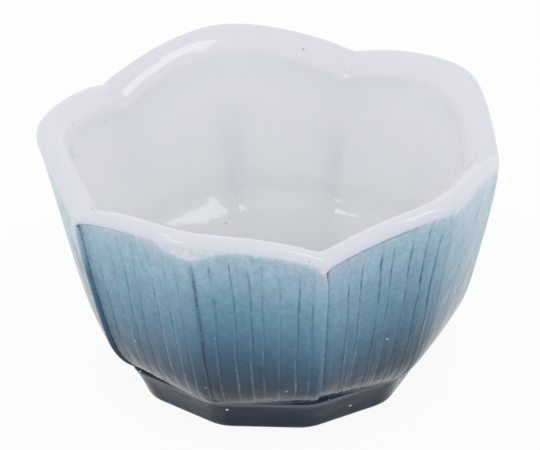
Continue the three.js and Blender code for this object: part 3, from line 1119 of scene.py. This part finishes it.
# %% Glaze gradient
GRADIENT_SPAN = 45.0
THICK_GLAZE = [
    (0.0, (219, 221, 228)), (1.9, (216, 219, 228)), (2.5, (184, 201, 212)), (3.3, (165, 189, 202)),
    (6.0, (152, 181, 198)), (9.0, (141, 174, 191)), (13.0, (119, 159, 177)), (18.0, (97, 143, 163)),
    (23.0, (77, 121, 145)), (28.0, (59, 97, 122)), (33.0, (42, 73, 95)), (37.0, (26, 54, 74)),
    (41.0, (22, 42, 61)),
]
THIN_GLAZE = [
    (0.0, (219, 221, 228)), (1.9, (217, 221, 229)), (2.8, (200, 212, 221)), (3.8, (176, 196, 208)),
    (6.0, (160, 186, 200)), (10.0, (149, 178, 194)), (15.0, (132, 167, 186)), (21.0, (113, 153, 172)),
    (26.0, (98, 136, 156)), (31.0, (81, 113, 133)), (36.0, (63, 87, 103)), (41.0, (52, 68, 84)),
]


def shade_ramp(tree, depth, shades):
    """A colour ramp whose stops are given against the depth in millimetres."""
    ramp = put(tree, "ShaderNodeValToRGB", {0: arithmetic(tree, "DIVIDE", depth, GRADIENT_SPAN)})
    stops = ramp.color_ramp.elements
    while len(stops) < len(shades):
        stops.new(0.5)
    for stop, (place, colour) in zip(stops, shades):
        stop.position = place / GRADIENT_SPAN
        stop.color = linear(*colour)
    return ramp.outputs[0]


print("stops of the thick and the thin glaze", len(THICK_GLAZE), len(THIN_GLAZE))

# %% [markdown]
# The blue glaze drifts, streaks and mottles, as glaze does that ran down clay while it melted. Noises of
# several sizes do that, two of them drawn out along the height, and all weak so that the gradient wins. A
# painted texture would hold more accidents, but show seams between the petals.

# %% Blue glaze
DRAWN_OUT = (1.0, 1.0, 0.25)
DRIFT = 4.0
DRIFT_FROM = 12.0
GREENER = (0.93, 1.01, 0.99, 1)
REDDER = (1.04, 0.985, 1.01, 1)


def drifting_depth(tree, drawn):
    """The depth, moved up or down by up to half of DRIFT, less near the lip."""
    depth = attribute(tree, "depth")
    shift = arithmetic(tree, "SUBTRACT", noise(tree, drawn, 130.0, 4.0), 0.5)
    shift = arithmetic(tree, "MULTIPLY", shift, DRIFT)
    weight = arithmetic(tree, "MINIMUM", arithmetic(tree, "DIVIDE", depth, DRIFT_FROM), 1.0)
    return arithmetic(tree, "ADD", depth, arithmetic(tree, "MULTIPLY", shift, weight))


def uneven_colour(tree, colour, place, drawn):
    """Times a tint that wanders from greener to redder, and times a grey of fine streaks and mottling."""
    tint = mix_colour(tree, spread(tree, noise(tree, place, 120.0, 2.0), (0.38, 0.62)), GREENER, REDDER)
    streak = spread(tree, noise(tree, drawn, 700.0, 3.0), (0.3, 0.7), (0.92, 1.07))
    mottle = arithmetic(tree, "MULTIPLY", noise(tree, place, 1100.0, 3.0), 0.5)
    light = arithmetic(tree, "MULTIPLY", streak, arithmetic(tree, "ADD", mottle, 0.75))
    grey = put(tree, "ShaderNodeCombineColor", {0: light, 1: light, 2: light}).outputs[0]
    return mix_colour(tree, 1.0, mix_colour(tree, 1.0, colour, tint, "MULTIPLY"), grey, "MULTIPLY")


def blue_glaze():
    material, tree, shader, place = new_material("blue glaze")
    drawn = put(tree, "ShaderNodeMapping", {"Vector": place, "Scale": DRAWN_OUT}).outputs[0]
    depth = drifting_depth(tree, drawn)
    thick, thin = shade_ramp(tree, depth, THICK_GLAZE), shade_ramp(tree, depth, THIN_GLAZE)
    # The facet's share of the thin ramp is partly painted light and shade.
    colour = mix_colour(tree, attribute(tree, "veil_and_facet_light"), thick, thin)
    colour = uneven_colour(tree, colour, place, drawn)
    grain = spread(tree, noise(tree, place, 2400.0, 2.0), (0.36, 0.64), (0.45, 1.4))
    pooled_and_shade = arithmetic(tree, "MULTIPLY", attribute(tree, "pooled_and_shade"), grain)
    edges = arithmetic(tree, "MULTIPLY", attribute(tree, "thin"), 0.4)
    glaze = grouped(tree, GLAZE_THICKNESS_AND_SHADE, Colour=colour, Pooled=pooled_and_shade,
                    Thin=arithmetic(tree, "MULTIPLY", edges, grain),
                    Pooled_tint=(0.22, 0.34, 0.45, 1), Thin_colour=linear(160, 180, 192))
    spots = grouped(tree, PINHOLES, Vector=place, Scale=500.0, Radius=0.16, Share=0.12)
    spots = arithmetic(tree, "MULTIPLY", spots, 0.5)
    feed(tree, mix_colour(tree, spots, glaze, linear(205, 215, 222)), shader.inputs["Base Color"])
    feed(tree, 0.13, shader.inputs["Roughness"])
    feed(tree, 0.35, shader.inputs["Specular IOR Level"])
    ripple_bump(tree, shader, place, 0.0004, Slow_scale=160.0, Fine_scale=1500.0, Fine_share=0.12)
    return material


blue = blue_glaze()
for petal in petals:
    petal.data.materials.append(blue)
print(blue.name, "has", len(blue.node_tree.nodes), "nodes")

# %% [markdown]
# The white glaze is glassy and faintly violet on the lip. A ramp by depth gives that and also carries
# painted
# light and shade: the wall lighter and the floor greyer, where one flat colour would leave it all to the
# light.
# Painted shade darkens the folds inside. Outside the crest the body takes the petals' ramp, so no white line
# shows at the seam.

# %% White glaze
# The inside by depth: faintly violet at the lip; the lighter wall and the greyer floor are painted light and
# shade.
INSIDE_COLOUR_LIGHT_AND_SHADE = [
    (0.0, (222, 221, 228)), (1.2, (224, 223, 229)), (3.0, (229, 229, 233)), (6.0, (231, 232, 236)),
    (12.0, (236, 237, 240)), (26.0, (241, 242, 244)), (33.0, (234, 236, 238)), (41.0, (209, 212, 213)),
]


def white_glaze():
    material, tree, shader, place = new_material("white glaze")
    depth = attribute(tree, "depth")
    inside, outside = shade_ramp(tree, depth, INSIDE_COLOUR_LIGHT_AND_SHADE), shade_ramp(tree, depth, THICK_GLAZE)
    colour = mix_colour(tree, attribute(tree, "outside"), inside, outside)
    # The pooled tint here darkens the folds inside as painted shade.
    colour = grouped(tree, GLAZE_THICKNESS_AND_SHADE, Colour=colour, Pooled=attribute(tree, "pooled_and_shade"),
                     Pooled_tint=(0.93, 0.935, 0.945, 1))
    spots = grouped(tree, PINHOLES, Vector=place, Scale=300.0, Radius=0.1, Share=0.25)
    spots = arithmetic(tree, "MULTIPLY", spots, 0.55)
    feed(tree, mix_colour(tree, spots, colour, linear(140, 143, 150)), shader.inputs["Base Color"])
    feed(tree, 0.05, shader.inputs["Roughness"])
    feed(tree, 1.52, shader.inputs["IOR"])
    ripple_bump(tree, shader, place, 0.0005, Slow_scale=70.0, Fine_scale=900.0, Fine_share=0.05)
    return material


white = white_glaze()
body.data.materials.append(white)
print(white.name, "has", len(white.node_tree.nodes), "nodes")

# %% [markdown]
# The foot's glaze is almost a slate, with pale pinholes, and paler where it is thin on the bead. The land
# on the table is left bare, or it would stick to the kiln shelf. A second material would need those faces
# cut out, so a mask by height does it.

# %% Dark glaze of the foot
LAND = (0.00035, 0.0002)     # metres above the table, from all glaze to all bare clay


def dark_glaze():
    material, tree, shader, place = new_material("dark glaze")
    height = put(tree, "ShaderNodeSeparateXYZ", {0: place}).outputs[2]
    colour = mix_colour(tree, noise(tree, place, 220.0, 5.0), linear(31, 42, 59), linear(42, 54, 71))
    glaze = grouped(tree, GLAZE_THICKNESS_AND_SHADE, Colour=colour,
                    Thin=arithmetic(tree, "MULTIPLY", attribute(tree, "thin"), 0.45),
                    Thin_colour=linear(150, 166, 180))
    spots = grouped(tree, PINHOLES, Vector=place, Scale=480.0, Radius=0.15, Share=0.3)
    specked = mix_colour(tree, spots, glaze, linear(226, 230, 233))
    bare = spread(tree, height, LAND)
    feed(tree, mix_colour(tree, bare, specked, linear(202, 194, 182)), shader.inputs["Base Color"])
    feed(tree, spread(tree, bare, (0.0, 1.0), (0.22, 0.85)), shader.inputs["Roughness"])
    feed(tree, 0.12, shader.inputs["Specular IOR Level"])
    ripple_bump(tree, shader, place, 0.0002, Slow_scale=240.0, Fine_scale=1800.0, Fine_share=0.2)
    return material


dark = dark_glaze()
foot.data.materials.append(dark)
print(dark.name, "has", len(dark.node_tree.nodes), "nodes")

# %% [markdown]
# The bowl was photographed on a white ground in soft light. The floor is a big pale sheet that the camera
# and mirrors see mostly as plain white, with a share of real light in it for a soft shadow. A floor lit
# until it clips would bleach the bowl too.

# %% Floor
FLOOR_SIZE = 6.0
FLOOR_COLOUR = (0.82, 0.82, 0.83, 1)
SHADOW_SHARE = 0.08


def mirror_or_camera(tree):
    """1 for rays from the camera, in a mirror or through glass, 0 for the rays that carry soft light."""
    path = put(tree, "ShaderNodeLightPath").outputs
    mirrored = arithmetic(tree, "MAXIMUM", path["Is Glossy Ray"], path["Is Transmission Ray"])
    return arithmetic(tree, "MAXIMUM", path["Is Camera Ray"], mirrored)


def white_floor():
    material = bpy.data.materials.new("white floor")
    material.use_nodes = True
    tree = material.node_tree
    tree.nodes.clear()
    real = put(tree, "ShaderNodeBsdfDiffuse", {"Color": FLOOR_COLOUR}).outputs[0]
    glow = put(tree, "ShaderNodeEmission", {"Strength": 1.0}).outputs[0]
    seen = mix_shader(tree, SHADOW_SHARE, glow, real)
    put(tree, "ShaderNodeOutputMaterial", {0: mix_shader(tree, mirror_or_camera(tree), real, seen)})
    return material


def make_floor():
    data = bpy.data.meshes.new("studio floor")
    half = FLOOR_SIZE / 2
    corners = [(-half, -half, 0), (half, -half, 0), (half, half, 0), (-half, half, 0)]
    data.from_pydata(corners, [], [(0, 1, 2, 3)])
    data.materials.append(white_floor())
    floor = add_object("studio floor", data)
    return floor


floor = make_floor()
print("floor", FLOOR_SIZE, "m wide, with a shadow share of", SHADOW_SHARE)

# %% [markdown]
# The world gives nearly all the light, and at a strength near 1 a colour renders about as it is written. It
# is a little brighter towards the horizon than overhead, so the petals, which face outwards, get slightly
# more of it than the inside, which faces up. An even world would be simpler, but flatter.

# %% World
HORIZON_STRENGTH = 1.13
ZENITH_STRENGTH = 0.87
FADE_HEIGHT = (0.5, 1.0)
SKY_COLOUR = (0.97, 0.98, 1.0, 1)


def make_world():
    world = bpy.data.worlds.new("studio")
    world.use_nodes = True
    tree = world.node_tree
    direction = put(tree, "ShaderNodeTexCoord").outputs["Generated"]
    upward = put(tree, "ShaderNodeSeparateXYZ", {0: direction}).outputs[2]
    strength = spread(tree, upward, FADE_HEIGHT, (HORIZON_STRENGTH, ZENITH_STRENGTH), "SMOOTHSTEP")
    sky = tree.nodes["Background"]
    feed(tree, SKY_COLOUR, sky.inputs["Color"])
    feed(tree, strength, sky.inputs["Strength"])
    seen = put(tree, "ShaderNodeBackground", {"Color": (1, 1, 1, 1), "Strength": 1.0}).outputs[0]
    result = mix_shader(tree, mirror_or_camera(tree), sky.outputs[0], seen)
    feed(tree, result, tree.nodes["World Output"].inputs[0])
    bpy.context.scene.world = world


make_world()
print("world strength", HORIZON_STRENGTH, "at the horizon,", ZENITH_STRENGTH, "overhead")

# %% [markdown]
# The glaze mirrors what look like windows and a lamp, as a long streak on the back left of the lip and a
# fainter one on its front. Area lamps stand where the glaze mirrors them at those marks, and show only in
# reflections. Bright patches in the world would do too, but lamps are easier to place.

# %% Lamps
LAMP_TARGET = Vector((0, 0, 0.03))
LAMPS = (     # name, place in metres, width, height, watts
    ("window right", (0.54, -0.24, 0.81), 0.36, 0.46, 1.35),
    ("window right, lower pane", (0.61, -0.53, 0.618), 0.09, 0.3, 0.2),
    ("window left", (-0.648, -0.103, 0.785), 0.25, 0.14, 0.34),
    ("lamp front left", (-0.72, -0.56, 0.43), 0.3, 0.25, 0.7),
)


def make_lamp(name, place, width, height, watts):
    data = bpy.data.lights.new(name, "AREA")
    data.shape = "RECTANGLE"
    data.size = width
    data.size_y = height
    data.energy = watts
    lamp = add_object(name, data)
    lamp.location = place
    lamp.rotation_euler = (LAMP_TARGET - Vector(place)).to_track_quat("-Z", "Y").to_euler()
    lamp.visible_diffuse = False
    return lamp


lamps = [make_lamp(*row) for row in LAMPS]
bpy.context.scene.view_settings.view_transform = "Standard"
print("lamps", [lamp.name for lamp in lamps])
